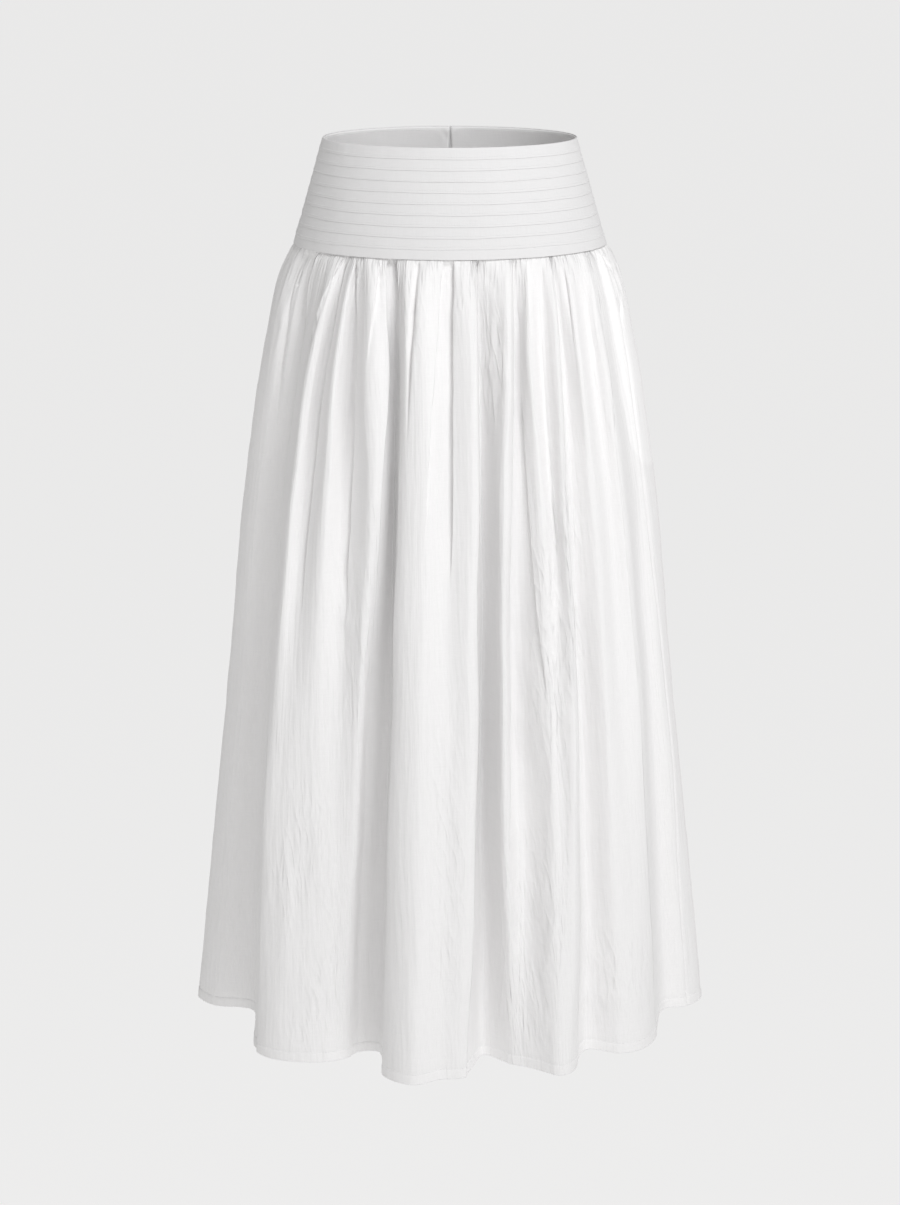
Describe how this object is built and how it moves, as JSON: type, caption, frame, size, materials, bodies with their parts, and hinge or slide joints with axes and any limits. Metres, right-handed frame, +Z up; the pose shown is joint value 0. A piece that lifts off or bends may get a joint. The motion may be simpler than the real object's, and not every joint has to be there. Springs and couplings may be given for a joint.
{
  "type": "gathered maxi skirt",
  "caption": "Long white cotton skirt, filled out with no wearer: a fitted yoke with flat horizontal tucks and full gathered panels with deep soft folds to the hem.",
  "frame": {"origin": "centre of the waist edge, where the wearer's waist holds the skirt", "axes": "+Z up out of the waist, -Y to the front of the skirt, +X to the right as seen from the front"},
  "size_m": [0.536, 0.4911, 0.911],
  "materials": {
    "cotton": "white crisp plain-weave cotton, matt, with fine upright crumples",
    "facing": "white plain-weave cotton, matt, seen in the shade inside the waist",
    "pocketing": "white plain-weave cotton, matt",
    "zip_metal": "white enamelled zinc, satin"
  },
  "bodies": {
    "garment": {"basque_front": "cotton", "basque_back_left": "cotton", "basque_back_right": "cotton", "facing_front": "facing", "facing_back_left": "facing", "facing_back_right": "facing", "skirt_front": "cotton", "skirt_back_left": "cotton", "skirt_back_right": "cotton", "pocket_left": "pocketing", "pocket_right": "pocketing", "zip_slider": "zip_metal"},
    "pull": {"zip_pull": "zip_metal"}
  },
  "joints": [
    {"name": "pull_swing", "type": "hinge", "parent": "garment", "child": "pull", "pos_m": [0, 0.10434, -0.01088], "axis": [1, 0, 0], "range_deg": [0, 150]}
  ]
}
